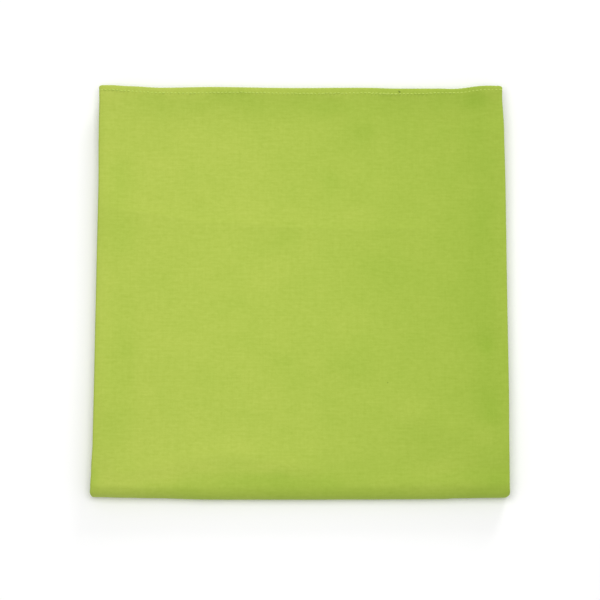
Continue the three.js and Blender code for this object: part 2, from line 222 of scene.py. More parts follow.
# Tone painted on the face, partly where hands have turned the nap and partly painted shade and
# light, such as the darker bands below the hem and along the front roll, and darkening in dents:
# above zero it lies light, and below zero dark. On top of the marks it lies lighter to the left
# and darker to the right, by the lean at the sides, which is painted light.
# painted light: the lean makes the face lighter to the left and darker to the right
PAINTED_LIGHT_LEAN = 0.5
MARK_WANDER = 3.0           # the marks' outlines are uneven by this much,
MARK_WANDER_SIZE = 13.0     # in swells of this width
NAP_AND_PAINTED_SHADE_MARKS = [
    # the left side
    {"at": (-114, 38), "across": 12, "along": 12, "tone": -0.27},
    {"at": (-110, 67), "across": 8, "along": 13, "tone": -0.3},
    {"at": (-110, 25), "across": 8, "along": 7, "tone": -0.17},
    {"at": (-119, 12), "across": 7, "along": 9, "tone": 0.15},
    {"at": (-117, -90), "across": 10, "along": 18, "tone": -0.35},
    {"at": (-108, -42), "across": 9, "along": 26, "tone": -0.25},
    {"at": (-108, -76), "across": 10, "along": 10, "tone": -0.1},
    {"at": (-98, -95), "across": 9, "along": 8, "tone": 0.15},
    {"at": (-72, -84), "across": 16, "along": 6, "tone": 0.12},
    {"at": (-88, -36), "across": 9, "along": 10, "tone": 0.15},
    {"at": (-76, -12), "across": 8, "along": 8, "tone": -0.08},
    {"at": (-115, 0), "across": 11, "along": 130, "tone": -0.15},
    {"at": (-98, -8), "across": 24, "along": 80, "tone": -0.17},
    {"at": (-82, -58), "across": 26, "along": 12, "tone": -0.08},
    {"at": (-78, 14), "across": 14, "along": 12, "tone": -0.1},
    {"at": (-80, 33), "across": 8, "along": 7, "tone": 0.08},
    {"at": (-82, 77), "across": 10, "along": 8, "tone": 0.17},
    {"at": (-110, 94), "across": 8, "along": 10, "tone": -0.09},
    # the right side, with painted shade in its dents
    {"at": (112, 0), "across": 9, "along": 130, "tone": -0.2},
    {"at": (122, 52), "across": 7, "along": 18, "tone": 0.2},
    {"at": (112, 20), "across": 6, "along": 8, "tone": 0.1},
    {"at": (111, 40), "across": 8, "along": 9, "tone": -0.14},
    {"at": (112, -33), "across": 7, "along": 7, "tone": -0.28},
    {"at": (113, -72), "across": 7, "along": 12, "tone": -0.25},
    {"at": (120, -10), "across": 6, "along": 7, "tone": 0.13},
    {"at": (96, 3), "across": 16, "along": 8, "tone": -0.2},
    {"at": (84, 32), "across": 12, "along": 8, "tone": -0.1},
    {"at": (62, -13), "across": 9, "along": 7, "tone": -0.12},
    {"at": (66, -36), "across": 8, "along": 8, "tone": -0.12},
    {"at": (92, -56), "across": 7, "along": 7, "tone": 0.15},
    # along the hem: painted light on its rim and corners, and painted shade in the darker band below
    # it
    {"at": (0, 125.5), "across": 160, "along": 2.5, "tone": 0.12},
    {"at": (-84, 124.4), "across": 12, "along": 1.6, "tone": 0.2},
    {"at": (-103, 121), "across": 10, "along": 5, "tone": -0.18},
    {"at": (-38, 125.5), "across": 10, "along": 3, "tone": 0.25},
    {"at": (16, 125), "across": 9, "along": 3, "tone": 0.12},
    {"at": (110, 119), "across": 8, "along": 5, "tone": -0.38},
    {"at": (85, 118), "across": 10, "along": 6, "tone": -0.14},
    {"at": (-20, 119), "across": 70, "along": 6, "tone": -0.2},
    {"at": (-87, 113), "across": 21, "along": 9, "tone": -0.33},
    {"at": (-46, 118), "across": 15, "along": 7, "tone": -0.3},
    {"at": (-24, 112), "across": 15, "along": 7, "tone": -0.31},
    {"at": (18, 114), "across": 20, "along": 8, "tone": -0.28},
    {"at": (60, 110), "across": 16, "along": 16, "tone": -0.17},
    {"at": (-122, 124), "across": 12, "along": 7, "tone": 0.3},
    {"at": (122, 124), "across": 6, "along": 7, "tone": 0.25},
    # along the front: mostly painted shade where the front rolls down, and painted shade on the left
    # rim
    {"at": (-126, 0), "across": 4, "along": 200, "tone": -0.2},
    {"at": (-124, -117), "across": 5, "along": 7, "tone": -0.6},
    {"at": (-98, -126), "across": 36, "along": 4, "tone": -0.25},
    {"at": (-94, -116.5), "across": 26, "along": 5, "tone": 0.2},
    {"at": (-76, -109), "across": 16, "along": 5, "tone": 0.2},
    {"at": (-77, -122), "across": 12, "along": 3.5, "tone": -0.2},
    {"at": (-60, -121), "across": 16, "along": 5, "tone": -0.15},
    {"at": (-62, -126), "across": 16, "along": 3, "tone": -0.25},
    {"at": (0, -126), "across": 110, "along": 5, "tone": -0.35},
    {"at": (-12, -119), "across": 50, "along": 6, "tone": -0.35},
    {"at": (-40, -117), "across": 22, "along": 4, "tone": -0.22},
    {"at": (-56, -107), "across": 14, "along": 4, "tone": 0.13},
    {"at": (-14, -110), "across": 12, "along": 5, "tone": 0.27},
    {"at": (-8, -118), "across": 24, "along": 4, "tone": -0.15},
    {"at": (8, -123), "across": 8, "along": 3, "tone": 0.17},
    {"at": (22, -118), "across": 8, "along": 7, "tone": -0.12},
    {"at": (46, -121), "across": 14, "along": 4, "tone": 0.15},
    {"at": (88, -123), "across": 28, "along": 3.5, "tone": 0.25},
    {"at": (120, -114), "across": 6, "along": 6, "tone": -0.22},
    {"at": (96, -116), "across": 26, "along": 4, "tone": -0.17},
    {"at": (-45, -97), "across": 20, "along": 6, "tone": 0.2},
    {"at": (84, -112), "across": 16, "along": 7, "tone": 0.2},
    {"at": (5, -95), "across": 30, "along": 9, "tone": 0.12},
    {"at": (40, -86), "across": 10, "along": 8, "tone": 0.13},
    {"at": (109, -90), "across": 10, "along": 12, "tone": 0.26},
    {"at": (66, -69), "across": 13, "along": 9, "tone": 0.27},
    {"at": (-52, -68), "across": 11, "along": 7, "tone": -0.13},
    {"at": (-20, -68), "across": 20, "along": 8, "tone": 0.2},
    # the middle
    {"at": (37, 98), "across": 9, "along": 8, "tone": -0.35},
    {"at": (-15, 92), "across": 8, "along": 6, "tone": 0.1},
    {"at": (17, 67), "across": 7, "along": 7, "tone": -0.2},
    {"at": (52, 64), "across": 7, "along": 15, "tone": 0.12},
    {"at": (-8, 32), "across": 7, "along": 8, "tone": -0.18},
    {"at": (-66, 72), "across": 6, "along": 7, "tone": -0.12},
    {"at": (-46, 63), "across": 10, "along": 5, "tone": 0.1},
    {"at": (33, 58), "across": 10, "along": 6, "tone": -0.12},
    {"at": (52, 11), "across": 13, "along": 14, "tone": -0.27},
    {"at": (22, 0), "across": 8, "along": 8, "tone": -0.1},
    {"at": (-48, -11), "across": 14, "along": 10, "tone": -0.17},
    {"at": (28, -48), "across": 13, "along": 5, "tone": -0.15},
    {"at": (-8, -46), "across": 12, "along": 6, "tone": -0.15},
    {"at": (-38, 82), "across": 16, "along": 12, "tone": 0.15},
    {"at": (-27, 51), "across": 20, "along": 9, "tone": 0.15},
    {"at": (30, 46), "across": 30, "along": 7, "tone": 0.2},
    {"at": (6, 29), "across": 6, "along": 8, "tone": 0.2},
    {"at": (-15, 8), "across": 18, "along": 12, "tone": 0.15},
    {"at": (28, -18), "across": 10, "along": 9, "tone": 0.25},
]

# Seeds of the smooth unevenness, so that each kind has a pattern of its own.
LOWER_WAVE_SEED = 11
LOOSE_SEED = 20             # and one more for each gap
SEAM_SINK_SEED = 31
MARK_SEEDS = (41, 42)


# ---- small helpers -----------------------------------------------------------------------
def ease(t):
    return (1 - np.cos(np.pi * np.clip(t, 0, 1))) / 2


def mix(a, b, t):
    return a + (b - a) * t


def read(table, key, at, column):
    """The value of a column at places between the rows of a table, whose keys rise."""
    at = np.asarray(at, float)
    keys = np.array([row[key] for row in table], float)
    values = np.array([row[column] for row in table], float)
    before = np.clip(np.searchsorted(keys, at, side="right") - 1, 0, len(keys) - 2)
    t = (at - keys[before]) / (keys[before + 1] - keys[before])
    return mix(values[before], values[before + 1], ease(t))


def soft_noise(x, y, size, seed):
    """Smooth unevenness from -1 to 1 whose swells are about size across."""
    cells = 64
    lattice = np.random.default_rng(seed).uniform(-1, 1, (cells, cells))
    gx, gy = np.asarray(x) / size + cells / 2, np.asarray(y) / size + cells / 2
    ix, iy = np.floor(gx).astype(int), np.floor(gy).astype(int)
    tx, ty = ease(gx - ix), ease(gy - iy)

    def corner(a, b):
        return lattice[(ix + a) % cells, (iy + b) % cells]

    near = mix(corner(0, 0), corner(1, 0), tx)
    far = mix(corner(0, 1), corner(1, 1), tx)
    return mix(near, far, ty)


def crease_height(crease, x, y):
    """Height that one crease adds, from the distance to the nearest stretch of its route."""
    points = np.array(crease["route"], float)
    runs = np.diff(points, axis=0)
    lengths = np.hypot(runs[:, 0], runs[:, 1])
    before = np.concatenate([[0], np.cumsum(lengths)])
    nearest = np.full(np.shape(x), np.inf)
    travelled = np.zeros(np.shape(x))
    on_left = np.zeros(np.shape(x), bool)
    for start, run, length, so_far in zip(points, runs, lengths, before):
        t = np.clip(((x - start[0]) * run[0] + (y - start[1]) * run[1]) / length**2, 0, 1)
        off_x, off_y = x - start[0] - t * run[0], y - start[1] - t * run[1]
        distance = np.hypot(off_x, off_y)
        closer = distance < nearest
        nearest = np.where(closer, distance, nearest)
        travelled = np.where(closer, so_far + t * length, travelled)
        on_left = np.where(closer, run[0] * off_y - run[1] * off_x > 0, on_left)
    flank = np.where(on_left, crease["left"], crease["right"])
    crest = np.exp(-(np.hypot(nearest, crease["soft"]) - crease["soft"]) / flank)
    fade = ease(travelled / CREASE_FADE) * ease((before[-1] - travelled) / CREASE_FADE)
    return crease["height"] * crest * fade


def patches(table, x, y, column):
    """Sum of soft round patches."""
    total = np.zeros(np.broadcast(x, y).shape)
    for patch in table:
        across = (x - patch["at"][0]) / patch["across"]
        along = (y - patch["at"][1]) / patch["along"]
        total = total + patch[column] * np.exp(-(across**2) - along**2)
    return total


def relief(x, y):
    """Height of the face over the ply below it."""
    height = RELIEF_ROOM + patches(SWELLINGS, x, y, "height")
    for crease in CREASES:
        height = height + crease_height(crease, x, y)
    for swell in FACE_SWELLS:
        height = height + swell["height"] * soft_noise(x, y, swell["size"], swell["seed"])
    return np.maximum(height, LEAST_ROOM)


# ---- the first fold: across the cloth ------------------------------------------------------
def section(u):
    """Where the thread at u lies across the strip, and the section's normal (dx, dh)."""
    s, sign = np.abs(u), np.sign(u)
    angle = np.pi * np.clip((s - FOLD_X) / SIDE_TURN, 0, 1)
    x0 = sign * (np.minimum(s, FOLD_X) - np.maximum(s - FOLD_X - SIDE_TURN, 0))
    return x0, sign * np.sin(angle), np.cos(angle)


# ---- the second fold: along the cloth ------------------------------------------------------
def middle_of(length):
    return STRIP * (length - 0.5) - (PLY_PITCH - SHEET) / 2


def powered(value, exponent):
    return np.sign(value) * np.abs(value) ** exponent


TURN_SAMPLES = 400          # points that a turn's length is measured with
ELLIPSE = 2.0               # the squareness of a plain round turn


def full_turn(deep, high, degrees, squareness):
    """Points of part of a superellipse, and its outward normals, by a share of the way."""
    a, b = math.radians(degrees[0]), math.radians(degrees[1])
    power = 2 / squareness

    def at(t):
        cos, sin = np.cos(mix(a, b, t)), np.sin(mix(a, b, t))
        ny, nz = powered(cos, 2 - power) / deep, powered(sin, 2 - power) / high
        long = np.hypot(ny, nz)
        return deep * powered(cos, power), high * powered(sin, power), ny / long, nz / long

    y, z, _, _ = at(np.linspace(0, 1, TURN_SAMPLES))
    return np.hypot(np.diff(y), np.diff(z)).sum(), at


# The towel's length is what the path uses up, and that gives the folded depth.
shoulder_run, _ = full_turn(FRONT_SHOULDER, middle_of(4) - FRONT_HEIGHT, (90, 180),
                            FRONT_SQUARENESS)
foot_run, _ = full_turn(FRONT_FOOT, FRONT_HEIGHT - middle_of(1), (180, 270), ELLIPSE)
turns = shoulder_run + foot_run + 2 * math.pi * TIGHT_RADIUS
set_backs = (FRONT_SHOULDER + FRONT_FOOT + 2 * BACK_FOLD_SET_BACK
             + 2 * INNER_FOLD_SET_BACK + HIDDEN_HEM_SET_BACK)
DEPTH = (TOWEL_LENGTH - turns + set_backs) / 4

corner_low, corner_high = (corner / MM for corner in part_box("towel"))
SOLID_HALF_PLY = 0.5                    # half the thickness of the plain solid's ply
FRONT_Y = corner_low.y + PLY_PITCH / 2 + SOLID_HALF_PLY + max(row["front"] for row in END_WANDER)
HEM_Y = FRONT_Y + DEPTH                 # the hem that shows
SHOULDER_Y = FRONT_Y + FRONT_SHOULDER
INNER_FOLD_Y = FRONT_Y + INNER_FOLD_SET_BACK
BACK_FOLD_Y = HEM_Y - BACK_FOLD_SET_BACK
HIDDEN_HEM_Y = HEM_Y - HIDDEN_HEM_SET_BACK


def flat_piece(length, y_from, y_to):
    """A flat length of the strip, with the face side up or down."""
    up = 1.0 if length % 2 == 0 else -1.0

    def at(t):
        one = np.ones_like(t)
        return mix(y_from, y_to, t), middle_of(length) * one, 0 * one, up * one, length * one
    return abs(y_to - y_from), at


def turn_piece(y, z, deep, high, degrees, face_out, lengths, squareness=ELLIPSE):
    """A turn of the strip round (y, z)."""
    span, outline = full_turn(deep, high, degrees, squareness)

    def at(t):
        dy, dz, ny, nz = outline(t)
        return y + dy, z + dz, ny * face_out, nz * face_out, mix(lengths[0], lengths[1], t)
    return span, at


def tight_turn(y, below, above, degrees, face_out):
    z = (middle_of(below) + middle_of(above)) / 2
    return turn_piece(y, z, TIGHT_RADIUS, TIGHT_RADIUS, degrees, face_out, (below, above))


PATH = [
    flat_piece(4, HEM_Y, SHOULDER_Y),
    turn_piece(SHOULDER_Y, FRONT_HEIGHT, FRONT_SHOULDER, middle_of(4) - FRONT_HEIGHT,
               (90, 180), 1, (4, FRONT_MIDDLE), FRONT_SQUARENESS),
    turn_piece(FRONT_Y + FRONT_FOOT, FRONT_HEIGHT, FRONT_FOOT, FRONT_HEIGHT - middle_of(1),
               (180, 270), 1, (FRONT_MIDDLE, 1)),
    flat_piece(1, FRONT_Y + FRONT_FOOT, BACK_FOLD_Y),
    tight_turn(BACK_FOLD_Y, 1, 2, (-90, 90), 1),
    flat_piece(2, BACK_FOLD_Y, INNER_FOLD_Y),
    tight_turn(INNER_FOLD_Y, 2, 3, (270, 90), -1),
    flat_piece(3, INNER_FOLD_Y, HIDDEN_HEM_Y),
]
PATH_ENDS = np.cumsum([span for span, _ in PATH])
PATH_LENGTH = PATH_ENDS[-1]


def path(v):
    """The strip's middle line at v: y, z, its normal on the face side, and which length."""
    v = np.asarray(v, float)
    which = np.clip(np.searchsorted(PATH_ENDS, v, side="left"), 0, len(PATH) - 1)
    result = np.zeros((5,) + v.shape)
    for number, (span, at) in enumerate(PATH):
        here = which == number
        t = (v[here] - (PATH_ENDS[number] - span)) / span
        result[:, here] = at(t)
    return result


# ---- the whole map from the cut cloth to the folded one --------------------------------------
def corner_cut(radius, from_end):
    """How much a rounded corner takes off a side at a distance from the end."""
    short = np.clip(radius - from_end, 0, radius)
    return radius - np.sqrt(radius**2 - short**2)


def seam_wander(u):
    """How much further in than its usual line the seam runs."""
    return read(SEAM_WANDER, "x", section(u)[0], "in")


def hem_thickness(inset, u):
    """Thickness of the cloth at an inset from a hemmed end, with the stitches' puckers."""
    to_seam = inset - seam_wander(u) * np.clip(inset / STITCH_INSET, 0, 1)
    share = read(HEM_PROFILE, "inset", to_seam, "share")
    round_off = np.clip(1 - inset / HEM_ROUND, 0, 1)
    thickness = HEM_SHEET * share * np.sqrt(np.maximum(1 - round_off**2, LEAST_EDGE))
    from_hole = (u / STITCH_PITCH + 0.5) % 1 - 0.5
    reach = ((to_seam - STITCH_INSET) / HOLE_SPREAD) ** 2
    reach = reach + (from_hole * STITCH_PITCH / HOLE_SPREAD) ** 2
    return thickness - HOLE_DEPTH * np.exp(-reach)


def drawn_in(length, on_front, column):
    """How far a side is drawn in. Round the front it goes evenly from length 4 to length 1."""
    lowest, top = DRAWN_IN[0], DRAWN_IN[-1]
    share = (length - lowest["length"]) / (top["length"] - lowest["length"])
    round_front = mix(lowest[column], top[column], share)
    return np.where(on_front, round_front, read(DRAWN_IN, "length", length, column))


def uneven(x, y, length, on_front):
    """Moves a place sideways as folding by hand leaves it."""
    left = x < 0
    share = np.abs(x) / FOLD_X
    pull = np.where(left, drawn_in(length, on_front, "left"),
                    drawn_in(length, on_front, "right"))
    lane = WAVE_LANE * length + WAVE_SIDE_LANE * left
    waviness = LOWER_WAVINESS * soft_noise(y, lane, LOWER_WAVE_SIZE, LOWER_WAVE_SEED)
    waviness = waviness * ease(4 - length)
    wander = np.where(left, read(SIDE_WANDER, "y", y, "left"),
                      read(SIDE_WANDER, "y", y, "right"))
    radius = np.where(left, FRONT_LEFT_RADIUS, FRONT_RIGHT_RADIUS)
    front_edge = FRONT_Y - PLY_PITCH / 2 - SHEET / 2
    cuts = corner_cut(radius, y - front_edge) + corner_cut(HEM_CORNER_RADIUS, HEM_Y - y)
    out = wander - pull + waviness - cuts
    hem = read(END_WANDER, "x", x, "hem") * ease((y - HEM_Y + END_REACH) / END_REACH)
    front = read(END_WANDER, "x", x, "front") * ease((FRONT_Y + END_REACH - y) / END_REACH)
    return x + np.sign(x) * out * share, y + hem - front


def looseness(x, y, z):
    """How much higher a place lies than in a tight stack, as the layers don't lie dead flat."""
    rise = 0.0
    for below in (1, 2, 3):
        gap_z = (middle_of(below) + middle_of(below + 1)) / 2
        gap = LOOSE_GAP + LOOSE_GAP * soft_noise(x, y, LOOSE_SIZE, LOOSE_SEED + below)
        near_side = ease((np.abs(x) - LOOSE_SIDE_FROM) / LOOSE_SIDE_REACH)
        gap = gap * (LOOSE_MIDDLE + LOOSE_SIDE * near_side)
        rise = rise + gap * ease((z - gap_z) / PLY_PITCH + 0.5)
    return rise


def folded(u, v, face):
    """Places of the folded cloth, face +1 on its right side and -1 on its back."""
    u, v = np.broadcast_arrays(np.asarray(u, float), np.asarray(v, float))
    x0, dx, dh = section(u)
    y, z, ny, nz, length = path(v)
    from_hidden = PATH_LENGTH - v
    hem_inset = np.minimum(v, from_hidden)

    reach = read(HEM_SETTLE, "x", x0, "reach")
    settle_top = np.clip((reach - v) / (reach - HEM_WIDTH), 0, 1) ** SETTLE_POWER
    settle_hidden = 1 - ease((from_hidden - HEM_WIDTH) / (SETTLE_HIDDEN - HEM_WIDTH))
    extra = read(HEM_SETTLE, "x", x0, "extra")
    hems_below = 3                      # of its own under ply, and both of the hidden hem
    z = z + settle_top * (hems_below * HEM_RISE + extra) + settle_hidden * HEM_RISE
    pitch = mix(PLY_PITCH, HEM_PITCH, np.maximum(settle_top, settle_hidden))

    plain = hem_inset > HEM_PROFILE[-1]["inset"]
    sheet = np.where(plain, SHEET, hem_thickness(np.where(plain, 1.0, hem_inset), u))
    out = pitch / 2 + face * sheet / 2
    x, h = x0 + dx * out, dh * out
    relief_share = (length - FRONT_MIDDLE) / (4 - FRONT_MIDDLE) * (v < PATH_ENDS[1])
    relief_share = np.clip(relief_share, 0, 1) * (1 - settle_top) * (1 + dh) / 2
    lift = relief(x0, y) * relief_share

    scallop = EDGE_SCALLOP * np.cos(2 * np.pi * u / STITCH_PITCH)
    scallop = scallop * np.clip(1 - hem_inset / HEM_WIDTH, 0, 1)
    y = y + h * ny - scallop
    z = z + h * nz + lift
    z = z + looseness(x, y, z)
    on_front = (v > PATH_ENDS[0]) & (v < PATH_ENDS[2])
    x, y = uneven(x, y, length, on_front)
    return np.stack([x, y, z], axis=-1)


# ---- the cloth as a mesh -------------------------------------------------------------------
def spread(start, end, step):
    count = max(1, round(abs(end - start) / step))
    return np.linspace(start, end, count + 1)


def joined(*runs):
    """Several rising runs as one, each value once."""
    return np.unique(np.round(np.concatenate(runs), 6))


SIDE_TURN_COLUMNS = 11


def across_stations():
    """u of the columns: coarse ones for the cloth, and fine ones for the shown hem."""
    turn_end = FOLD_X + SIDE_TURN
    turn = np.linspace(FOLD_X, turn_end, SIDE_TURN_COLUMNS)
    face = np.arange(-STITCH_COUNT / 2, (STITCH_COUNT + 1) / 2) * STITCH_PITCH
    under = turn_end + spread(0, HALF_WIDTH - turn_end, 5 * STITCH_PITCH)
    coarse = joined(-under, -turn, face, turn, under)
    fine_face = spread(-FOLD_X, FOLD_X, STITCH_PITCH / 4)
    fine_under = turn_end + spread(0, HALF_WIDTH - turn_end, STITCH_PITCH / 2)
    return coarse, joined(coarse, fine_face, fine_under, -fine_under)


# Rows of the mesh in from the edge of a hem. The hidden hem has some of them.
HEM_ROWS = np.array([0, 0.05, 0.15, 0.35, 0.75, 1.3, 1.9, 2.4, 2.75, 3.05, 3.35, 3.7, 4.1, 4.7, 5.4])
HIDDEN_HEM_ROWS = HEM_ROWS[[0, 2, 3, 4, 6, 8, 9, 10, 11, 13]]
PAST_HEM = 6.4              # where the rows of the plain cloth start
NEAR_HIDDEN_HEM = 16.0      # they lie closer together from here to the hidden hem
TURN_STEP = 0.42            # between the rows of a tight turn
FLAT_STEP = 17.0            # and of the flat cloth inside the fold


def along_stations():
    """v of the rows: fine-column rows of the shown hem, then all the others."""
    face, shoulder, foot, lowest, back_fold, second, inner_fold, third = PATH_ENDS
    stretches = [
        {"from": PAST_HEM, "to": 26, "step": 1.25},     # the face comes down from the hem
        {"from": 26, "to": 74, "step": 2.75},
        {"from": 74, "to": 93, "step": 0.9},            # the old fold
        {"from": 93, "to": face, "step": 2.75},
        {"from": face, "to": shoulder, "step": 0.85},
        {"from": shoulder, "to": foot, "step": 0.5},
        {"from": foot, "to": lowest, "step": FLAT_STEP},
        {"from": lowest, "to": back_fold, "step": TURN_STEP},
        {"from": back_fold, "to": second, "step": FLAT_STEP},
        {"from": second, "to": inner_fold, "step": TURN_STEP},
        {"from": inner_fold, "to": third - NEAR_HIDDEN_HEM, "step": FLAT_STEP},
        {"from": third - NEAR_HIDDEN_HEM, "to": third - PAST_HEM, "step": 2.4},
    ]
    runs = [spread(run["from"], run["to"], run["step"]) for run in stretches]
    return HEM_ROWS, joined(*runs, third - HIDDEN_HEM_ROWS)


def cloth_mesh(name):
    coarse, fine = across_stations()
    hem, rest = along_stations()
    grid = [(v, fine) for v in hem] + [(v, coarse) for v in rest]
    places, texture = [], []
    index = {1: [], -1: []}
    for face in (1, -1):
        for v, us in grid:
            first = sum(len(block) for block in places)
            places.append(folded(us, v, face))
            texture.append(np.stack([us, np.full(len(us), v)], axis=-1))
            index[face].append(np.arange(first, first + len(us)))
    places, texture = np.concatenate(places) * MM, np.concatenate(texture) * MM

    polygons = []

    def band(row, face):
        """The polygons between one row of points and the next."""
        near, far = index[face][row], index[face][row + 1]
        near_u, far_u = grid[row][1], grid[row + 1][1]
        steps = np.searchsorted(near_u, far_u)
        for i in range(len(far_u) - 1):
            edge = list(near[steps[i]:steps[i + 1] + 1])
            polygon = edge + [far[i + 1], far[i]]
            polygons.append(polygon[::-1] if face == 1 else polygon)

    for row in range(len(grid) - 1):
        band(row, 1)
        band(row, -1)
        for side in (0, -1):
            rim = [index[1][row][side], index[1][row + 1][side],
                   index[-1][row + 1][side], index[-1][row][side]]
            polygons.append(rim if side == 0 else rim[::-1])
    for row in (0, len(grid) - 1):
        for i in range(len(grid[row][1]) - 1):
            rim = [index[1][row][i], index[1][row][i + 1],
                   index[-1][row][i + 1], index[-1][row][i]]
            polygons.append(rim[::-1] if row == 0 else rim)
    piece = make_mesh(name, places, polygons, texture)
    u, v = (texture / MM).T
    on_face = (np.abs(u) < FOLD_X + SIDE_TURN / 2) & (v < PATH_ENDS[1])
    x, y = section(u)[0], path(v)[0]
    off_x, off_y = (MARK_WANDER * soft_noise(x, y, MARK_WANDER_SIZE, seed) for seed in MARK_SEEDS)
    # the nap marks, partly the nap's own tone and partly painted shade and light
    marks = patches(NAP_AND_PAINTED_SHADE_MARKS, x + off_x, y + off_y, "tone")
    # the lean is painted light, lighter to the left and darker to the right
    marks = marks * on_face - PAINTED_LIGHT_LEAN * x / FOLD_X
    piece.data.attributes.new("nap and painted shade", "FLOAT", "POINT").data.foreach_set("value", marks)
    return piece


def make_mesh(name, places, polygons, texture):
    """A smooth-shaded object with one UV for each point."""
    mesh = bpy.data.meshes.new(name)
    mesh.from_pydata([tuple(p) for p in places], [], [[int(i) for i in p] for p in polygons])
    layer = mesh.uv_layers.new(name="cloth")
    corners = np.zeros(len(mesh.loops), int)
    mesh.loops.foreach_get("vertex_index", corners)
    layer.data.foreach_set("uv", np.asarray(texture, float)[corners].ravel())
    mesh.polygons.foreach_set("use_smooth", [True] * len(mesh.polygons))
    mesh.update()
    piece = bpy.data.objects.new(name, mesh)
    bpy.context.scene.collection.objects.link(piece)
    return piece


# ---- hem stitches ---------------------------------------------------------------------------
THREAD_WIDTH = 0.75         # the sewing thread is soft and full, and pressed flat
THREAD_HEIGHT = 0.5
THREAD_SUNK = 0.16          # its ends lie this deep in the needle holes
STITCH_SIDES = 6
STITCH_RINGS = 6
STITCH_SHARE = 0.78         # share of the pitch that a stitch shows
STITCH_END_SHARE = 0.55     # how thick its ends are, as a share of its middle
SWELL_TRIM = 0.03           # a stitch swells from this share of it to as much before its end,
SWELL_POWER = 0.6           # quickly at first

# How unlike each other the stitches are.
LENGTH_VARIES = 0.18        # as a share
SLANT_VARIES = 0.10         # as a share
LINE_VARIES = 0.08
SINK_VARIES = 0.06
THICKNESS_VARIES = 0.06     # as a share
SEAM_SINK = 0.18            # the seam as a whole lies deeper and higher by this much,
SEAM_SINK_SIZE = 17.0       # in swells of this length

WHOLE = (1.5 - HALF_WIDTH, HALF_WIDTH - 1.5)
OVERLAP = (43.0, 60.5)      # where the seam's start and end lie over each other
OVERLAP_SHIFT = 0.45
HIDDEN_LINE = PATH_LENGTH - STITCH_INSET
SEAMS = [
    {"name": "hem_stitches", "line": STITCH_INSET, "face": 1, "span": WHOLE, "seed": 1},
    {"name": "hem_stitches_back", "line": STITCH_INSET, "face": -1, "span": WHOLE, "seed": 2},
    {"name": "hem_stitches_overlap", "line": STITCH_INSET + OVERLAP_SHIFT, "face": 1,
     "span": OVERLAP, "seed": 5},
    {"name": "hidden_hem_stitches", "line": HIDDEN_LINE, "face": 1, "span": WHOLE, "seed": 3},
    {"name": "hidden_hem_stitches_back", "line": HIDDEN_LINE, "face": -1, "span": WHOLE,
     "seed": 4},
]


def frame_on_cloth(u, v, face):
    """Places on the cloth and the directions across, along and out of it there."""
    nudge = 0.05
    here = folded(u, v, face)
    across = folded(u + nudge, v, face) - folded(u - nudge, v, face)
    along = folded(u, v + nudge, face) - folded(u, v - nudge, face)
    across /= np.linalg.norm(across, axis=-1, keepdims=True)
    out = np.cross(across, along) * -face
    out /= np.linalg.norm(out, axis=-1, keepdims=True)
    return here, across, np.cross(out, across), out


def stitch_row(seam):
    """Stitches of one seam as one mesh: each rises out of its hole and dives into the next."""
    rng = np.random.default_rng(seam["seed"])
    first, last = seam["span"]
    starts = np.arange(first, last - STITCH_PITCH, STITCH_PITCH)
    count = len(starts)

    def vary(share):
        return share * rng.standard_normal((count, 1))

    t = np.linspace(0, 1, STITCH_RINGS)[None, :]
    length = STITCH_SHARE * (1 + vary(LENGTH_VARIES))
    u = starts[:, None] + STITCH_PITCH * (0.5 + (t - 0.5) * length)
    inward = 1 if seam["line"] < PATH_LENGTH / 2 else -1
    v = seam["line"] + inward * seam_wander(u)
    v = v + vary(SLANT_VARIES) * (t - 0.5) * STITCH_PITCH + vary(LINE_VARIES)
    here, across, along, out = frame_on_cloth(u, v, seam["face"])
    swell = np.sin(np.pi * np.clip(t, SWELL_TRIM, 1 - SWELL_TRIM)) ** SWELL_POWER
    drift = SEAM_SINK * soft_noise(starts, seam["seed"], SEAM_SINK_SIZE, SEAM_SINK_SEED)
    sunk = THREAD_SUNK + drift[:, None] + vary(SINK_VARIES)
    height = 2 * THREAD_SUNK * swell - sunk
    radius = mix(STITCH_END_SHARE, 1, swell) * (1 + vary(THICKNESS_VARIES))
    centre = here + out * height[..., None]
    angle = np.arange(STITCH_SIDES) * 2 * np.pi / STITCH_SIDES
    ring = (THREAD_WIDTH / 2 * np.cos(angle)[:, None] * along[..., None, :]
            + THREAD_HEIGHT / 2 * np.sin(angle)[:, None] * out[..., None, :])
    places = centre[..., None, :] + ring * radius[..., None, None]
    round_it = angle * THREAD_WIDTH / 2
    texture = np.stack(np.broadcast_arrays(u[..., None], round_it), axis=-1)

    polygons = []
    for stitch in range(count):
        base = stitch * STITCH_RINGS * STITCH_SIDES
        rings = [[base + r * STITCH_SIDES + s for s in range(STITCH_SIDES)]
                 for r in range(STITCH_RINGS)]
        for near, far in zip(rings, rings[1:]):
            for s in range(STITCH_SIDES):
                after = (s + 1) % STITCH_SIDES
                polygons.append([near[s], near[after], far[after], far[s]])
        polygons.append(rings[0][::-1])
        polygons.append(rings[-1])
    return make_mesh(seam["name"], places.reshape(-1, 3) * MM, polygons,
                     texture.reshape(-1, 2) * MM)


# ---- finishes -------------------------------------------------------------------------------
def node_group(name, inputs, outputs):
    """A shader node group with named sockets, and its input and output nodes."""
    group = bpy.data.node_groups.new(name, "ShaderNodeTree")
    for label, kind, value in inputs:
        socket = group.interface.new_socket(label, in_out="INPUT", socket_type=kind)
        if value is not None:
            socket.default_value = value
    for label, kind in outputs:
        group.interface.new_socket(label, in_out="OUTPUT", socket_type=kind)
    return group, group.nodes.new("NodeGroupInput"), group.nodes.new("NodeGroupOutput")


